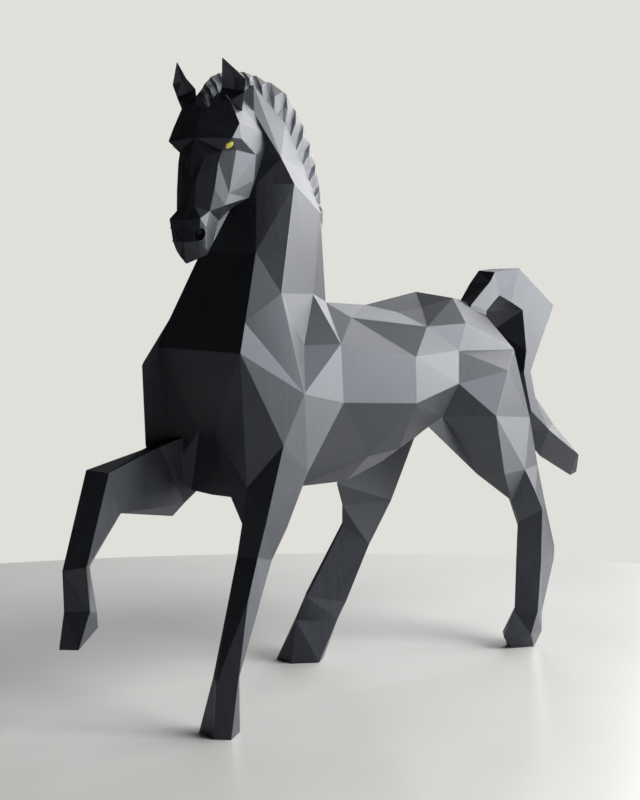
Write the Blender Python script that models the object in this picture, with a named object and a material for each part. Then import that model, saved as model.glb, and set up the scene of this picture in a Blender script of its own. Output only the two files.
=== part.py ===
"""A faceted walking horse in one casting, standing on three hoofs with the right foreleg raised."""

import math

import bmesh
import bpy
from mathutils import Matrix, Vector

# Driving sizes
# The figure's pose and proportions are counted in shares of its height, so HEIGHT alone resizes it.
HEIGHT = 0.457
SHARES_IN_HEIGHT = 457
SHARE = HEIGHT / SHARES_IN_HEIGHT
HEAD_TURN = math.radians(12)
HEAD_PIVOT = Vector((120, 0, 0))
WELD = 0.05
LEFT = 1
RIGHT = -1
RESIN_COLOUR = (0.02, 0.02, 0.023, 1)
RESIN_ROUGHNESS = 0.45

# Mane, in shares: the corner at the foot and the one on the edge of each lock, from the forelock down
MANE = (
    ((158, 8, 430), (159, 8, 434)), ((152, 7, 432), (154, 7, 440)), ((145, 5, 436), (147, 5, 446)),
    ((137, 3, 439), (139, 3, 450)), ((126, 1, 442), (128, 1, 452)), ((112, 0, 446), (114, 0, 454)),
    ((100, 0, 439), (103, 0, 453)), ((89, 0, 431), (90, 0, 450)), ((78, 0, 422), (73, 0, 445)),
    ((71, 0, 414), (63, 0, 434)), ((65, 0, 405), (55, 0, 424)), ((59, 0, 394), (48, 0, 412)),
    ((53, 0, 382), (42, 0, 398)), ((47, 0, 371), (37, 0, 383)), ((42, 0, 361), (35, 0, 367)),
    ((38, 0, 347), (33, 0, 351)),
)
MANE_FOOT_WIDTH = 13
MANE_SIDE_WIDTH = 9
MANE_GROOVE_WIDTH = 5
MANE_NOTCH = 0.92
MANE_SWELL = 0.28
MANE_SINK = 5

# Corners of the body, in shares: forward of the balance point, out from the middle plane, up
BODY = {
    "crest0": (121, 0, 440), "nape0": (121, 6, 438), "cheekneck0": (117, 17, 424),
    "jowl0": (111, 12, 406), "throat0": (118, 0, 395), "crest_top": (108, 0, 445),
    "nape_top": (108, 7, 444),
    "crest1": (75, 0, 423), "nape1": (78, 7, 420), "side1": (100, 26, 394),
    "gullet1": (109, 13, 391), "throat1": (122, 0, 372),
    "crest2": (54, 0, 391), "nape2": (58, 7, 388), "side2": (92, 31, 376),
    "gullet2": (113, 15, 376), "throat2": (125, 0, 358),
    "crest3": (36, 0, 362), "nape3": (43, 7, 358), "scapula": (61, 18, 299),
    "side3": (117, 44, 301), "gullet3": (127, 29, 329), "throat3": (127, 0, 329),
    "withers": (30, 0, 292), "point": (147, 40, 282), "point_mid": (147, 0, 282),
    "blade": (60, 45, 264), "blade_front": (89, 37, 264), "arm": (104, 53, 232),
    "breast": (155, 44, 262), "breast_mid": (155, 0, 262),
    "keel": (147, 8, 206), "keel_mid": (147, 0, 205),
    "heart": (59, 47, 222), "fore_out": (123, 52, 198), "fore_back": (98, 50, 176),
    "brisket_out": (137, 30, 168), "brisket": (144, 21, 161), "brisket_mid": (143, 0, 160),
    "girth0": (80, 24, 177), "sternum0": (70, 13, 159), "sternum0_mid": (70, 0, 158),
    "girth1": (10, 25, 176), "sternum1": (19, 11, 157), "sternum1_mid": (19, 0, 156),
    "rib_top": (25, 22, 281), "loin": (-13, 0, 289), "flank_top": (-18, 48, 251),
    "flank_low": (-18, 49, 216), "girth2": (-23, 27, 179), "belly2": (-18, 13, 168),
    "belly2_mid": (-18, 0, 167), "belly3": (-46, 22, 185), "belly3_mid": (-46, 0, 184),
    "fold": (-56, 28, 193), "loin_side": (-34, 15, 283), "rump_front": (-63, 14, 286),
    "dimple": (-49, 32, 272), "rump_top": (-72, 0, 298), "hip": (-94, 20, 293),
    "hip_low": (-94, 34, 273), "stifle": (-84, 35, 252), "stifle_low": (-82, 37, 226),
    "thigh_front": (-70, 30, 200), "croup": (-125, 0, 291), "dock": (-154, 0, 283),
    "dock_side": (-147, 14, 275), "buttock": (-166, 27, 249), "thigh": (-133, 47, 234),
    "thigh_low": (-110, 53, 199), "breech": (-180, 34, 191), "breech_in": (-158, 16, 184),
    "groin": (-78, 14, 199), "groin_mid": (-78, 0, 201), "seat_mid": (-160, 0, 240),
    "crotch_mid": (-155, 0, 192),
}

# The raised foreleg pulls these corners of the right side forward
RIGHT_SIDE = {
    "arm": (166, 48, 250),
    "fore_out": (166, 45, 192),
    "fore_back": (120, 48, 180),
    "brisket_out": (152, 33, 174),
}

# Skins of one half of the body: each joins two runs of corners pair by pair, and a corner named
# twice closes the stretch beside it to one facet
BODY_SKINS = (
    ("crest0 nape0 cheekneck0 jowl0 throat0", "crest_top nape_top side1 gullet1 throat1"),
    ("crest_top nape_top side1", "crest1 nape1 side1"),
    ("crest1 nape1 side1 gullet1 throat1", "crest2 nape2 side2 gullet2 throat2"),
    ("crest2 nape2 side2 side2 side2 gullet2 throat2",
     "crest3 nape3 nape3 scapula side3 gullet3 throat3"),
    ("crest3 nape3 scapula scapula scapula side3 side3 side3 gullet3",
     "withers withers withers blade blade_front blade_front arm point point"),
    ("blade blade", "blade_front arm"),
    ("point point", "arm breast"),
    ("throat3 point_mid breast_mid keel_mid", "gullet3 point breast keel"),
    ("blade arm arm arm breast breast keel keel keel_mid",
     "heart heart fore_back fore_out fore_out brisket_out brisket_out brisket brisket_mid"),
    ("heart fore_back", "girth1 girth0"),
    ("girth0 girth1", "sternum0 sternum1"),
    ("sternum0 sternum1", "sternum0_mid sternum1_mid"),
    ("brisket girth0 sternum0", "brisket_mid sternum0_mid"),
    ("withers withers blade blade heart girth1 sternum1 sternum1_mid",
     "loin rib_top rib_top flank_top flank_low girth2 belly2 belly2_mid"),
    ("rib_top rib_top rib_top", "loin loin_side dimple"),
    ("loin loin_side dimple", "rump_top rump_front rump_front"),
    ("rib_top flank_top flank_top flank_low flank_low",
     "dimple dimple stifle stifle_low thigh_front"),
    ("rump_top rump_top rump_front dimple dimple", "croup hip hip hip hip_low"),
    ("dimple dimple", "hip_low stifle"),
    ("flank_low girth2 belly2 belly2_mid", "thigh_front fold belly3 belly3_mid"),
    ("croup croup hip hip_low hip_low stifle stifle stifle_low stifle_low thigh_front",
     "dock dock_side dock_side dock_side buttock buttock thigh thigh thigh_low thigh_low"),
    ("buttock breech", "thigh thigh_low"),
    ("dock dock_side buttock breech breech_in", "dock seat_mid crotch_mid"),
    ("belly3 fold groin breech_in", "belly3_mid groin_mid crotch_mid"),
)
NECK_END = "crest0 nape0 cheekneck0 jowl0 throat0"
FORE_ROOT = "fore_out fore_back girth0 brisket brisket_out"
HIND_ROOT = "fold thigh_front thigh_low breech breech_in groin"

# Leg sections from the root down, in shares, each a ring of corners
LEFT_FORE = (
    ((137, 48, 142), (113, 45, 139), (117, 29, 140), (141, 29, 143)),
    ((141, 45, 122), (125, 42, 117), (128, 28, 118), (144, 27, 120)),
    ((151, 46, 94), (138, 44, 90), (140, 30, 90), (153, 28, 91)),
    ((171, 36, 39), (160, 46, 41), (152, 38, 40), (158, 28, 40), (169, 30, 41)),
    ((174, 36, 0), (166, 45, 0), (151, 37, 0), (153, 22, 0), (170, 16, 0)),
)
LEFT_HIND = (
    ((-119, 26, 149), (-127, 49, 150), (-160, 45, 150), (-195, 32, 149), (-186, 18, 150), (-132, 14, 150)),
    ((-151, 38, 124), (-168, 50, 131), (-194, 42, 114), (-190, 27, 116), (-166, 24, 122)),
    ((-159, 40, 105), (-174, 53, 116), (-202, 46, 79), (-198, 31, 80), (-172, 29, 99)),
    ((-155, 41, 70), (-172, 54, 70), (-200, 47, 69), (-195, 34, 69), (-168, 31, 70)),
    ((-152, 42, 31), (-166, 56, 31), (-180, 50, 27), (-176, 38, 28), (-163, 34, 31)),
    ((-138, 42, 11), (-158, 55, 12), (-180, 50, 10), (-178, 34, 10), (-152, 30, 11)),
    ((-148, 43, 0), (-165, 53, 0), (-178, 46, 0), (-174, 33, 0), (-154, 33, 0)),
)
RIGHT_HIND = (
    ((-60, -16, 226), (-60, -34, 226), (-120, -38, 226), (-130, -18, 226)),
    ((-44, -34, 190), (-56, -46, 190), (-120, -48, 195), (-134, -26, 190)),
    ((-23, -40, 144), (-40, -54, 146), (-98, -52, 158), (-106, -30, 174)),
    ((-34, -44, 124), (-48, -58, 125), (-84, -54, 122), (-82, -34, 124)),
    ((-38, -48, 107), (-50, -60, 106), (-62, -56, 92), (-58, -37, 89)),
    ((-3, -54, 52), (-14, -66, 52), (-38, -60, 47), (-34, -40, 45)),
    ((9, -54, 35), (-4, -66, 36), (-28, -62, 33), (-24, -40, 32)),
    ((14, -55, 0), (12, -74, 0), (-18, -68, 0), (-16, -48, 0), (-4, -41, 0)),
)
RIGHT_FORE = (
    ((108, -18, 182), (108, -38, 182), (134, -40, 204), (134, -20, 204)),
    ((147, -26, 151), (146, -40, 140), (168, -46, 190), (168, -26, 194)),
    ((201, -28, 151), (204, -42, 150), (218, -44, 181), (212, -26, 180)),
    ((222, -36, 116), (226, -44, 115), (239, -44, 114), (231, -27, 118)),
    ((220, -31, 84), (224, -42, 84), (239, -43, 86), (228, -28, 87)),
    ((218, -33, 73), (222, -44, 73), (243, -44, 60), (238, -28, 62)),
)

# Corners of one half of the head, in shares along its own turned frame: forward, out, up
HEAD = {
    "poll": (8, 0, 446),
    "forehead": (37, 0, 430), "temple": (31, 20, 429), "ear_back": (16, 19, 426),
    "nape_side": (-8, 16, 424), "nape_mid": (-14, 0, 424),
    "brow_mid": (41, 0, 415), "brow": (32, 28, 414), "neck_side": (-12, 19, 411),
    "neck_mid": (-16, 0, 411),
    "lid_mid": (45, 0, 405), "lid_front": (39, 27, 404), "lid_back": (30, 28, 404),
    "cheek_top": (8, 24, 395), "throat_side": (-11, 19, 401), "throat_mid": (-16, 0, 401),
    "nose_mid": (49, 0, 393), "nose_side": (46, 9, 391), "eye_front": (38, 18, 396),
    "eye_back": (29, 23, 397),
    "cheek_front": (41, 17, 389), "bridge_mid": (51, 0, 378), "bridge": (51, 6, 377),
    "ridge": (44, 16, 371), "cheek": (32, 19, 368),
    "jaw": (6, 21, 378), "jaw_in": (-4, 16, 381), "jaw_mid": (-18, 0, 381),
    "muzzle_mid": (54, 0, 360), "muzzle": (53, 6, 359), "muzzle_side": (47, 14, 356),
    "bars": (35, 18, 360), "jaw_low": (8, 18, 366), "jaw_low_mid": (-12, 0, 372),
    "tip_mid": (57, 0, 350), "tip": (56, 13, 351), "nostril": (51, 14, 345), "chin_back": (30, 9, 350),
    "groove": (20, 11, 358), "groove_mid": (20, 0, 360),
    "lip_mid": (58, 0, 335), "lip": (55, 11, 336), "lip_side": (49, 13, 330), "chin": (37, 9, 335),
    "chin_mid": (36, 0, 337),
    "mouth_mid": (55, 0, 321), "mouth": (50, 9, 326), "mouth_side": (45, 10, 327),
    "under_mid": (42, 0, 328),
}
HEAD_SKINS = (
    ("poll poll poll poll poll", "forehead temple ear_back nape_side nape_mid"),
    ("forehead temple ear_back nape_side nape_mid", "brow_mid brow brow neck_side neck_mid"),
    ("brow_mid brow brow brow neck_side neck_side neck_mid",
     "lid_mid lid_front lid_back cheek_top cheek_top throat_side throat_mid"),
    ("lid_mid lid_mid lid_mid lid_front lid_front lid_back cheek_top",
     "nose_mid nose_side eye_front eye_front eye_back eye_back eye_back"),
    ("nose_mid nose_side nose_side eye_front eye_back",
     "bridge_mid bridge cheek_front cheek_front cheek_front"),
    ("cheek_front cheek_front cheek_front eye_back cheek_top cheek_top cheek_top throat_side throat_mid",
     "bridge ridge cheek cheek cheek jaw jaw_in jaw_in jaw_mid"),
    ("bridge_mid bridge ridge ridge cheek jaw jaw_in jaw_mid",
     "muzzle_mid muzzle muzzle muzzle_side bars jaw_low jaw_low jaw_low_mid"),
    ("muzzle_mid muzzle muzzle_side bars jaw_low jaw_low_mid",
     "tip_mid tip nostril chin_back groove groove_mid"),
    ("tip_mid tip nostril nostril chin_back groove groove_mid",
     "lip_mid lip lip lip_side chin chin chin_mid"),
    ("lip_mid lip lip_side chin chin_mid", "mouth_mid mouth mouth_side under_mid under_mid"),
    ("mouth_mid mouth_mid mouth_mid", "mouth mouth_side under_mid"),
)

# Ear sections from the root up, in the head's frame: inner rim, hollow, outer rim and back
EAR = (
    ((30, 9, 430), (31, 19, 429), (25, 25, 424), (13, 18, 424)),
    ((29, 11, 439), (26, 20, 437), (27, 29, 435), (18, 20, 438)),
    ((34, 15, 446), (30, 22, 445), (29, 31, 443), (23, 24, 447)),
    ((39, 19, 457),),
)

# Tail sections along its arch, in shares: left outer, left inner, right inner and right outer corner
TAIL = (
    ((-126, 8, 270), (-150, 8, 262), (-150, -8, 262), (-130, -8, 270)),
    ((-131, 9, 286), (-152, 9, 281), (-152, -8, 281), (-137, -9, 287)),
    ((-156, 9, 305), (-160, 9, 287), (-160, -9, 287), (-151, -9, 303)),
    ((-162, 9, 313), (-169, 9, 293), (-169, -12, 292), (-163, -9, 314)),
    ((-194, 10, 316), (-184, 10, 287), (-180, -22, 286), (-190, -18, 315)),
    ((-245, 10, 283), (-200, 10, 280), (-192, -28, 278), (-240, -30, 284)),
    ((-228, 10, 254), (-206, 10, 245), (-208, -26, 262), (-232, -28, 262)),
    ((-213, 10, 227), (-203, 10, 226), (-205, -14, 226), (-216, -16, 230)),
    ((-220, 10, 204), (-214, 10, 192), (-222, -8, 172), (-228, -12, 200)),
    ((-254, 5, 177), (-241, 10, 173), (-250, -6, 147), (-262, -8, 166)),
    ((-291, 8, 145), (-287, 9, 147), (-298, -6, 124), (-308, -6, 126)),
)


def remove_everything():
    """Empty the scene of objects."""
    for obj in list(bpy.data.objects):
        bpy.data.objects.remove(obj, do_unlink=True)


def skin(mesh, first, second):
    """Join two runs of corners with triangles, always across the shorter way."""
    i = j = 0
    paired = len(first) == len(second)
    while i < len(first) - 1 or j < len(second) - 1:
        step_first = math.inf
        step_second = math.inf
        if i < len(first) - 1 and not (paired and i > j):
            step_first = (first[i + 1] - second[j]).length
        if j < len(second) - 1 and not (paired and j > i):
            step_second = (second[j + 1] - first[i]).length
        if step_first <= step_second:
            corners = (first[i], first[i + 1], second[j])
            i += 1
        else:
            corners = (first[i], second[j + 1], second[j])
            j += 1
        facet(mesh, corners)


def facet(mesh, corners):
    """Add one facet unless two of its corners fall together."""
    for a, b in zip(corners, corners[1:] + corners[:1]):
        if (a - b).length < WELD:
            return
    mesh.faces.new([mesh.verts.new(corner) for corner in corners])


def cap(mesh, ring):
    """Close a ring of corners with a fan from its first corner."""
    for a, b in zip(ring[1:-1], ring[2:]):
        facet(mesh, (ring[0], a, b))


def sleeve(mesh, rings):
    """Skin a row of closed rings one after another."""
    for upper, lower in zip(rings, rings[1:]):
        skin(mesh, upper + upper[:1], lower + lower[:1])


def vectors(corners):
    """Turn plain corners into vectors."""
    return [Vector(corner) for corner in corners]


def body_corners(side):
    """Return the corners of one side of the body by name."""
    marks = dict(BODY)
    if side == RIGHT:
        marks.update(RIGHT_SIDE)
    return {name: Vector((x, y * side, z)) for name, (x, y, z) in marks.items()}


def run(corners, names):
    """Return a run of named corners."""
    return [corners[name] for name in names.split()]


def finish_mesh(mesh):
    """Weld the corners, drop doubled facets and face them outwards."""
    bmesh.ops.remove_doubles(mesh, verts=mesh.verts, dist=WELD)
    bmesh.ops.recalc_face_normals(mesh, faces=mesh.faces)


def make_object(name, mesh, collection):
    """Turn the facets into an object at full size."""
    finish_mesh(mesh)
    bmesh.ops.scale(mesh, vec=(SHARE, SHARE, SHARE), verts=mesh.verts)
    data = bpy.data.meshes.new(name)
    mesh.to_mesh(data)
    mesh.free()
    obj = bpy.data.objects.new(name, data)
    collection.objects.link(obj)
    return obj


def trunk(collection):
    """Build the neck and body with the two left legs."""
    mesh = bmesh.new()
    for side in (LEFT, RIGHT):
        corners = body_corners(side)
        for first, second in BODY_SKINS:
            skin(mesh, run(corners, first), run(corners, second))
        if side == RIGHT:
            root = run(corners, FORE_ROOT)
            cap(mesh, root[-1:] + root[:-1])
            cap(mesh, run(corners, HIND_ROOT))
    left = body_corners(LEFT)
    right = body_corners(RIGHT)
    cap(mesh, run(left, NECK_END) + run(right, NECK_END)[-2:0:-1])
    for root, sections in ((FORE_ROOT, LEFT_FORE), (HIND_ROOT, LEFT_HIND)):
        rings = [run(left, root)] + [vectors(section) for section in sections]
        sleeve(mesh, rings)
        cap(mesh, rings[-1])
    return make_object("horse", mesh, collection)


def limb(name, sections, collection):
    """Build a closed limb from its sections."""
    mesh = bmesh.new()
    rings = [vectors(section) for section in sections]
    sleeve(mesh, rings)
    cap(mesh, rings[0])
    cap(mesh, rings[-1])
    return make_object(name, mesh, collection)


def turned(corners, side):
    """Place corners of the head's own frame, on one side of it."""
    turn = Matrix.Rotation(HEAD_TURN, 3, "Z")
    return [HEAD_PIVOT + turn @ Vector((x, y * side, z)) for x, y, z in corners]


def head(collection):
    """Build the head without its ears."""
    mesh = bmesh.new()
    for side in (LEFT, RIGHT):
        corners = dict(zip(HEAD, turned(HEAD.values(), side)))
        for first, second in HEAD_SKINS:
            skin(mesh, run(corners, first), run(corners, second))
    return make_object("head", mesh, collection)


def ear(side, collection):
    """Build one ear."""
    mesh = bmesh.new()
    rings = [turned(ring, side) for ring in EAR]
    sleeve(mesh, rings)
    cap(mesh, rings[0])
    return make_object("ear", mesh, collection)


def mane_ring(foot, edge, lift, width):
    """Return the corners round the mane where its edge has that lift and its side that width."""
    edge = foot + (edge - foot) * lift
    middle = (foot + edge) / 2
    sunk = foot + (foot - edge).normalized() * MANE_SINK
    side = Vector((0, width / 2, 0))
    out = Vector((0, MANE_FOOT_WIDTH / 2, 0))
    return [edge, middle + side, sunk + out, sunk - out, middle - side]


def mane(collection):
    """Build the cropped mane as one ridge, each lock swelling out of the groove before it."""
    mesh = bmesh.new()
    stations = [vectors(station) for station in MANE]
    rings = []
    for (foot, edge), (next_foot, next_edge) in zip(stations, stations[1:]):
        rings.append(mane_ring(foot, edge, MANE_NOTCH, MANE_GROOVE_WIDTH))
        foot = foot.lerp(next_foot, MANE_SWELL)
        edge = edge.lerp(next_edge, MANE_SWELL)
        rings.append(mane_ring(foot, edge, 1, MANE_SIDE_WIDTH))
    rings.append(mane_ring(*stations[-1], MANE_NOTCH, MANE_GROOVE_WIDTH))
    sleeve(mesh, rings)
    cap(mesh, rings[0])
    cap(mesh, rings[-1])
    return make_object("mane", mesh, collection)


def join_all(target, cutters):
    """Unite the cutters with the target in one solid."""
    for cutter in cutters:
        modifier = target.modifiers.new(cutter.name, "BOOLEAN")
        modifier.operation = "UNION"
        modifier.solver = "EXACT"
        modifier.use_self = True
        modifier.object = cutter


def settle(objects):
    """Move the meshes so that the middle of their common box stands on the origin."""
    corners = [vertex.co for obj in objects for vertex in obj.data.vertices]
    low = Vector([min(corner[axis] for corner in corners) for axis in range(3)])
    high = Vector([max(corner[axis] for corner in corners) for axis in range(3)])
    shift = Matrix.Translation((-(low.x + high.x) / 2, -(low.y + high.y) / 2, -low.z))
    for obj in objects:
        obj.data.transform(shift)


def resin():
    """Return the casting's own material."""
    made = bpy.data.materials.new("black_resin")
    made.use_nodes = True
    shader = made.node_tree.nodes["Principled BSDF"]
    shader.inputs["Base Color"].default_value = RESIN_COLOUR
    shader.inputs["Roughness"].default_value = RESIN_ROUGHNESS
    return made


def main():
    """Build the horse."""
    remove_everything()
    shown = bpy.data.collections.new("horse")
    guides = bpy.data.collections.new("horse_guides")
    bpy.context.scene.collection.children.link(shown)
    bpy.context.scene.collection.children.link(guides)
    horse = trunk(shown)
    cutters = [
        limb("right_hind", RIGHT_HIND, guides),
        limb("right_fore", RIGHT_FORE, guides),
        limb("tail", TAIL, guides),
        mane(guides),
        head(guides),
        ear(LEFT, guides),
        ear(RIGHT, guides),
    ]
    for cutter in cutters:
        cutter.hide_render = True
        cutter.display_type = "WIRE"
    settle([horse] + cutters)
    join_all(horse, cutters)
    horse.data.materials.append(resin())


main()
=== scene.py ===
"""A cast resin horse with flat facets, walking, with the right foreleg raised."""

import math

import bmesh
import bpy
from mathutils import Matrix, Vector
from mathutils.bvhtree import BVHTree


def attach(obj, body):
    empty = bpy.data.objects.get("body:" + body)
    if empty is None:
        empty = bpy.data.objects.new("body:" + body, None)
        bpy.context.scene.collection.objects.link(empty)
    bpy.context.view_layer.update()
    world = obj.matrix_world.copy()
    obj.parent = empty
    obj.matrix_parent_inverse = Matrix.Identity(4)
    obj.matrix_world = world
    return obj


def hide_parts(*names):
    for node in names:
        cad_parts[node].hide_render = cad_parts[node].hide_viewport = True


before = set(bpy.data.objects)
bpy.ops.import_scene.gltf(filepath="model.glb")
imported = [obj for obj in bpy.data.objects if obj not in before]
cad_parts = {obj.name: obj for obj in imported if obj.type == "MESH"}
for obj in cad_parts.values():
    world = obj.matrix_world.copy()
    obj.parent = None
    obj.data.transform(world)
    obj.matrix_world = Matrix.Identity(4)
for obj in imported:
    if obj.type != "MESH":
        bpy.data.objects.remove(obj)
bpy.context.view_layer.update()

MM = 0.001
UP = Vector((0.0, 0.0, 1.0))
LEFT, RIGHT = 1, -1

# The arrises of the casting
EDGE_WIDTH = 0.3 * MM
EDGE_STEPS = 2
EDGE_ANGLE = math.radians(6.0)
WELD = 0.35 * MM
FLAT_ANGLE = math.radians(1.0)

# The head's own frame, turned to the left from the body's
HEAD_PIVOT = Vector((152.5, 9.0, 0.0)) * MM
HEAD_TURN = math.radians(12.0)
HEAD_PLACE = Matrix.Translation(HEAD_PIVOT) @ Matrix.Rotation(HEAD_TURN, 4, "Z")

# Nostrils, with their place in millimetres of the head's own frame: forward, out, up
NOSTRIL_AT = (54.6, 11.6, 340.8)
NOSTRIL_FACING = math.radians(50.0)
NOSTRIL_TILT = math.radians(-20.0)
NOSTRIL_HALF = (3.6 * MM, 4.7 * MM, 4.2 * MM)
NOSTRIL_SUNK = 1.6 * MM
RIM_THICKNESS = 0.5 * MM
RIM_STEPS = 48
RIM_SECTION_STEPS = 12
RIM_REACH = 10.0 * MM

# Eyes, with their place in millimetres of the head's own frame: forward, out, up
EYE_AT = (36.8, 24.0, 398.3)
EYE_TILT = math.radians(-18.0)
EYE_HALF = (2.7 * MM, 3.7 * MM, 0.7 * MM)
EYE_PINCH = 0.35
EYE_SUNK = 0.3 * MM
EYE_STEPS = 32
SOCKET_GAP = 0.35 * MM
CARVING_STEPS = 48

# The black paint, and a paler copy of it for the arrises as a painted highlight along the edges
PAINT_DARK = (0.0105, 0.0115, 0.014)
PAINT_LIGHT = (0.025, 0.028, 0.034)
# Painted highlight: the paler paint that every arris gets
ARRIS_HIGHLIGHT_DARK = (0.0125, 0.0135, 0.016)
ARRIS_HIGHLIGHT_LIGHT = (0.029, 0.032, 0.038)
PAINT_ROUGHNESS = (0.40, 0.48)
PAINT_SHEEN = 0.6
PAINT_SHEEN_TINT = (0.82, 0.88, 1.0, 1.0)
STREAKS_PER_METRE = (420.0, 420.0, 26.0)
CLOUD_SHARE = 0.35
TONE_ENDS = (0.3, 0.7)
BRUSH_RELIEF = 0.1 * MM
BRUSH_STRENGTH = 0.12

# The round stone table that it stands on
TABLE_RADIUS = 1.2
TABLE_CENTRE = (0.583, 0.5235)
TABLE_THICKNESS = 0.03
TABLE_STEPS = 256

# Soft window light: bearing and height from the horse in degrees, power in watts, tint
WARM = (1.0, 0.99, 0.97)
COOL = (0.97, 0.98, 1.0)
LAMPS = {
    "window_near": (134.0, 8.0, 52.0, WARM),
    "window_far": (156.0, 8.0, 82.0, WARM),
    "window_high": (117.0, 36.0, 70.0, WARM),
    "back_low": (191.0, 20.0, 42.0, WARM),
    "back_high": (208.0, 38.0, 24.0, COOL),
}
LAMP_AIM = Vector((0.0, 0.0, 0.22))
LAMP_DISTANCE = 3.0
LAMP_SIZE = 1.5

# The pale room: its glow on the horse, and what the camera sees behind it
ROOM_GLOW = (0.90, 0.92, 1.0, 1.0)
ROOM_GLOW_STRENGTH = 0.03
WALL_COLOUR = (0.88, 0.87, 0.82, 1.0)
WALL_STRENGTH = 0.85

# The camera, at the photograph's angle
CAMERA_AT = Vector((0.8065, 0.747, 0.327))
CAMERA_TURN = (math.radians(84.09), 0.0, math.radians(135.0))
CAMERA_LENS = 78.75
CAMERA_SENSOR = 36.0


def only(thing):
    """Nothing but thing is selected, and it is active."""
    bpy.ops.object.select_all(action="DESELECT")
    thing.hide_set(False)
    thing.select_set(True)
    bpy.context.view_layer.objects.active = thing


def in_head(place, side):
    """The spot on the horse's left or right at a place of the head's own frame."""
    forward, out, height = place
    return HEAD_PLACE @ (Vector((forward, out * side, height)) * MM)


def on_facet(centre, normal, tilt):
    """The frame of a spot on a facet: across it, up it, and out of it, turned by tilt."""
    upright = (UP - normal * UP.dot(normal)).normalized()
    along = Matrix.Rotation(tilt, 3, normal) @ upright
    across = along.cross(normal)
    axes = Matrix((across, along, normal)).transposed().to_4x4()
    return Matrix.Translation(centre) @ axes


def new_material(name):
    """A fresh material, its nodes, its links and its shader."""
    made = bpy.data.materials.new(name)
    made.use_nodes = True
    nodes, links = made.node_tree.nodes, made.node_tree.links
    return made, nodes, links, nodes["Principled BSDF"]


def cloudy(nodes, links, place, per_metre, detail, roughness=0.5):
    """A cloudy pattern over that place."""
    made = nodes.new("ShaderNodeTexNoise")
    made.inputs["Scale"].default_value = per_metre
    made.inputs["Detail"].default_value = detail
    made.inputs["Roughness"].default_value = roughness
    links.new(place, made.inputs["Vector"])
    return made.outputs["Fac"]


def two_tones(nodes, links, pattern, ends, dark, light):
    """A colour that runs from dark to light between two values of the pattern."""
    made = nodes.new("ShaderNodeValToRGB")
    for stop, position, colour in zip(made.color_ramp.elements, ends, (dark, light)):
        stop.position = position
        stop.color = (*colour, 1.0)
    links.new(pattern, made.inputs["Fac"])
    return made.outputs["Color"]


def resin(name, dark, light):
    """Satin black paint on resin, with fine brushed streaks down it and soft clouds."""
    made, nodes, links, shader = new_material(name)
    place = nodes.new("ShaderNodeTexCoord").outputs["Object"]
    stretch = nodes.new("ShaderNodeMapping")
    stretch.inputs["Scale"].default_value = STREAKS_PER_METRE
    links.new(place, stretch.inputs["Vector"])
    streaks = cloudy(nodes, links, stretch.outputs["Vector"], per_metre=1.0, detail=4.0, roughness=0.6)
    clouds = cloudy(nodes, links, place, per_metre=22.0, detail=3.0)
    both = nodes.new("ShaderNodeMix")
    both.data_type = "FLOAT"
    both.inputs["Factor"].default_value = CLOUD_SHARE
    links.new(streaks, both.inputs["A"])
    links.new(clouds, both.inputs["B"])
    colour = two_tones(nodes, links, both.outputs["Result"], TONE_ENDS, dark, light)
    links.new(colour, shader.inputs["Base Color"])
    gloss = nodes.new("ShaderNodeMapRange")
    gloss.inputs["From Min"].default_value, gloss.inputs["From Max"].default_value = TONE_ENDS
    gloss.inputs["To Min"].default_value, gloss.inputs["To Max"].default_value = PAINT_ROUGHNESS
    links.new(both.outputs["Result"], gloss.inputs["Value"])
    links.new(gloss.outputs["Result"], shader.inputs["Roughness"])
    relief = nodes.new("ShaderNodeBump")
    relief.inputs["Strength"].default_value = BRUSH_STRENGTH
    relief.inputs["Distance"].default_value = BRUSH_RELIEF
    links.new(streaks, relief.inputs["Height"])
    links.new(relief.outputs["Normal"], shader.inputs["Normal"])
    shader.inputs["Specular IOR Level"].default_value = PAINT_SHEEN
    shader.inputs["Specular Tint"].default_value = PAINT_SHEEN_TINT
    return made


def eye_paint():
    """Pale yellow paint, a little uneven."""
    made, nodes, links, shader = new_material("eye_yellow")
    place = nodes.new("ShaderNodeTexCoord").outputs["Object"]
    grain = cloudy(nodes, links, place, per_metre=900.0, detail=2.0)
    colour = two_tones(nodes, links, grain, (0.35, 0.6), (0.42, 0.36, 0.03), (0.80, 0.72, 0.10))
    links.new(colour, shader.inputs["Base Color"])
    shader.inputs["Roughness"].default_value = 0.4
    return made


def pale_stone():
    """Polished pale stone."""
    made, nodes, links, shader = new_material("pale_stone")
    place = nodes.new("ShaderNodeTexCoord").outputs["Object"]
    clouds = cloudy(nodes, links, place, per_metre=3.0, detail=6.0)
    colour = two_tones(nodes, links, clouds, (0.3, 0.6), (0.74, 0.74, 0.73), (0.80, 0.80, 0.79))
    links.new(colour, shader.inputs["Base Color"])
    shader.inputs["Roughness"].default_value = 0.25
    return made


def casting():
    """The faceted body, a merged copy of the frame's own solid, ready to be carved."""
    body = bpy.data.objects.new("casting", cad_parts["horse"].data.copy())
    bpy.context.scene.collection.objects.link(body)
    body.data.materials.clear()
    body.data.materials.append(resin("black_resin", PAINT_DARK, PAINT_LIGHT))
    # The paler paint for the arrises, a painted highlight along every edge
    body.data.materials.append(resin("black_resin_arris_highlight", ARRIS_HIGHLIGHT_DARK, ARRIS_HIGHLIGHT_LIGHT))
    only(body)
    bpy.ops.object.mode_set(mode="EDIT")
    bpy.ops.mesh.select_mode(type="VERT")
    bpy.ops.mesh.select_all(action="SELECT")
    bpy.ops.mesh.remove_doubles(threshold=WELD)
    bpy.ops.mesh.dissolve_degenerate(threshold=WELD)
    bpy.ops.mesh.dissolve_limited(angle_limit=FLAT_ANGLE)
    bpy.ops.object.mode_set(mode="OBJECT")
    return body


def surface_of(body):
    """The body's surface as it is now, to find spots on."""
    mesh = bmesh.new()
    mesh.from_mesh(body.data)
    surface = BVHTree.FromBMesh(mesh)
    mesh.free()
    return surface


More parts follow.
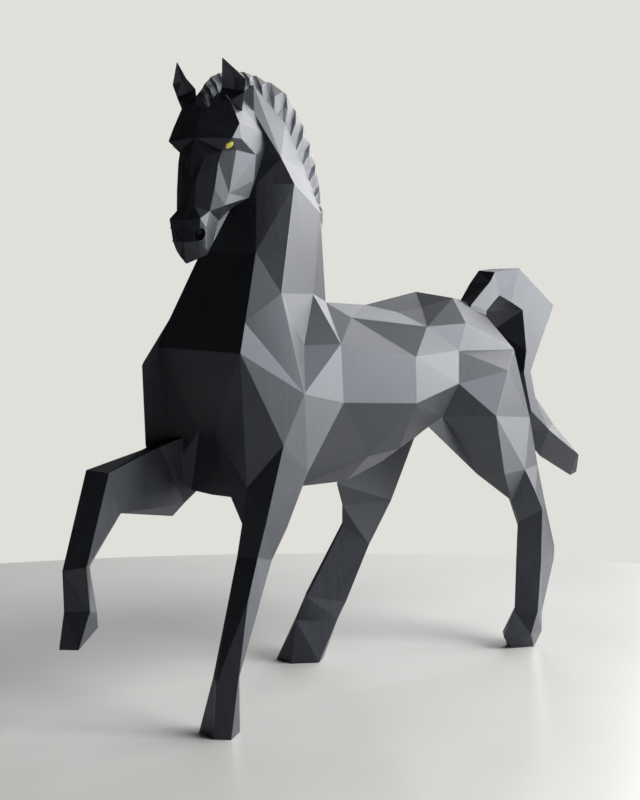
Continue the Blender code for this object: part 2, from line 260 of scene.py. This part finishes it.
def soften(body):
    """Every arris gets a narrow rounded edge in the second, paler paint, a painted highlight, and then
    all faces are triangles.

    Triangles keep the facets whole when nostrils and sockets are carved into them.
    """
    only(body)
    rounding = body.modifiers.new("arris", "BEVEL")
    rounding.width = EDGE_WIDTH
    rounding.segments = EDGE_STEPS
    rounding.limit_method = "ANGLE"
    rounding.angle_limit = EDGE_ANGLE
    rounding.use_clamp_overlap = False
    # The rounded edges take the paler paint, a painted highlight
    rounding.material = 1
    rounding.miter_outer = "MITER_ARC"
    bpy.ops.object.modifier_apply(modifier=rounding.name)
    bpy.ops.object.mode_set(mode="EDIT")
    bpy.ops.mesh.select_all(action="SELECT")
    bpy.ops.mesh.quads_convert_to_tris(quad_method="BEAUTY", ngon_method="BEAUTY")
    bpy.ops.object.mode_set(mode="OBJECT")


def combine(body, other, operation):
    """The other form is cut out of the body or joined to it, and goes."""
    only(body)
    step = body.modifiers.new(operation.lower(), "BOOLEAN")
    step.operation = operation
    step.solver = "EXACT"
    step.object = other
    bpy.ops.object.modifier_apply(modifier=step.name)
    only(other)
    bpy.ops.object.delete()


def lens(name, place, half_sizes, steps, pinch=0.0):
    """A smooth lens at that place on a facet, with half sizes across, up and out of it.

    pinch is how much narrower its two ends are than an ellipse's.
    """
    bpy.ops.object.select_all(action="DESELECT")
    bpy.ops.mesh.primitive_uv_sphere_add(segments=steps, ring_count=steps // 2, radius=1.0)
    made = bpy.context.object
    made.name = name
    bpy.ops.object.shade_smooth()
    for vertex in made.data.vertices:
        vertex.co.x *= 1.0 - pinch * vertex.co.y ** 2
    made.data.transform(place @ Matrix.Diagonal((*half_sizes, 1.0)))
    return made


def nostril_rim(place, surface):
    """A thin oval ring that lies on the muzzle and follows it over its arrises."""
    wide, tall, _ = NOSTRIL_HALF
    turn = place.to_3x3()
    outwards = turn.col[2]
    bpy.ops.object.select_all(action="DESELECT")
    bpy.ops.mesh.primitive_torus_add(
        major_segments=RIM_STEPS, minor_segments=RIM_SECTION_STEPS,
        major_radius=wide, minor_radius=RIM_THICKNESS,
    )
    rim = bpy.context.object
    bpy.ops.object.shade_smooth()
    for vertex in rim.data.vertices:
        middle = Vector((vertex.co.x, vertex.co.y, 0.0)).normalized() * wide
        offset = vertex.co - middle
        middle.y *= tall / wide
        above = place @ middle + outwards * RIM_REACH
        at, _, _, _ = surface.ray_cast(above, -outwards)
        vertex.co = at + turn @ offset
    return rim


def nostril(body, side, surface):
    """A round nostril with a low rim, sunk where the front of the muzzle turns into its side."""
    centre = in_head(NOSTRIL_AT, side)
    facing = Vector((math.cos(NOSTRIL_FACING), math.sin(NOSTRIL_FACING) * side, 0.0))
    normal = (HEAD_PLACE.to_3x3() @ facing).normalized()
    tilt = NOSTRIL_TILT * side
    combine(body, nostril_rim(on_facet(centre, normal, tilt), surface), "UNION")
    sunk = on_facet(centre - normal * NOSTRIL_SUNK, normal, tilt)
    combine(body, lens("hole", sunk, NOSTRIL_HALF, CARVING_STEPS), "DIFFERENCE")


def eye(name, side, body, surface, paint):
    """A low painted eye in a shallow socket on the facet below the brow."""
    at, normal, _, _ = surface.find_nearest(in_head(EYE_AT, side))
    tilt = EYE_TILT * side
    socket_half = [size + SOCKET_GAP for size in EYE_HALF]
    socket = lens("socket", on_facet(at, normal, tilt), socket_half, CARVING_STEPS)
    combine(body, socket, "DIFFERENCE")
    seat = on_facet(at - normal * EYE_SUNK, normal, tilt)
    made = lens(name, seat, EYE_HALF, EYE_STEPS, EYE_PINCH)
    made.data.materials.append(paint)
    return made


def table():
    """The table top, with its face level with the soles."""
    bpy.ops.object.select_all(action="DESELECT")
    bpy.ops.mesh.primitive_cylinder_add(
        vertices=TABLE_STEPS, radius=TABLE_RADIUS, depth=TABLE_THICKNESS,
        location=(*TABLE_CENTRE, -TABLE_THICKNESS / 2),
    )
    made = bpy.context.object
    made.name = "floor"
    made.data.materials.append(pale_stone())
    return made


def lamp(name, bearing, height, power, tint):
    """A square soft light at that bearing and height from the horse, turned to it."""
    flat = math.cos(height)
    way = Vector((math.cos(bearing) * flat, math.sin(bearing) * flat, math.sin(height)))
    light = bpy.data.lights.new(name, "AREA")
    light.shape = "SQUARE"
    light.size = LAMP_SIZE
    light.energy = power
    light.color = tint
    made = bpy.data.objects.new(name, light)
    bpy.context.scene.collection.objects.link(made)
    made.visible_camera = False
    made.location = LAMP_AIM + way * LAMP_DISTANCE
    made.rotation_euler = way.to_track_quat("Z", "Y").to_euler()


def room():
    """A dim glow all round the horse, and a pale wall where the camera looks past it."""
    made = bpy.data.worlds.new("pale_room")
    made.use_nodes = True
    nodes, links = made.node_tree.nodes, made.node_tree.links
    glow = nodes["Background"]
    glow.inputs["Color"].default_value = ROOM_GLOW
    glow.inputs["Strength"].default_value = ROOM_GLOW_STRENGTH
    wall = nodes.new("ShaderNodeBackground")
    wall.inputs["Color"].default_value = WALL_COLOUR
    wall.inputs["Strength"].default_value = WALL_STRENGTH
    seen = nodes.new("ShaderNodeLightPath")
    either = nodes.new("ShaderNodeMixShader")
    links.new(seen.outputs["Is Camera Ray"], either.inputs["Fac"])
    links.new(glow.outputs["Background"], either.inputs[1])
    links.new(wall.outputs["Background"], either.inputs[2])
    links.new(either.outputs["Shader"], nodes["World Output"].inputs["Surface"])
    bpy.context.scene.world = made
    bpy.context.scene.view_settings.view_transform = "Standard"


def camera():
    """The camera, with its lens and its place."""
    view = bpy.data.cameras.new("camera")
    view.sensor_fit = "HORIZONTAL"
    view.sensor_width = CAMERA_SENSOR
    view.lens = CAMERA_LENS
    made = bpy.data.objects.new("camera", view)
    made.location = CAMERA_AT
    made.rotation_euler = CAMERA_TURN
    bpy.context.scene.collection.objects.link(made)
    bpy.context.scene.camera = made


# The horse
horse = casting()
bare_surface = surface_of(horse)
soften(horse)
for side in (LEFT, RIGHT):
    nostril(horse, side, bare_surface)
yellow = eye_paint()
for name, side in (("left_eye", LEFT), ("right_eye", RIGHT)):
    painted_eye = eye(name, side, horse, bare_surface, yellow)
    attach(painted_eye, "root")
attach(horse, "root")
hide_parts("horse")

# Its surroundings
table()
for name, (bearing, height, power, tint) in LAMPS.items():
    lamp(name, math.radians(bearing), math.radians(height), power, tint)
room()
camera()
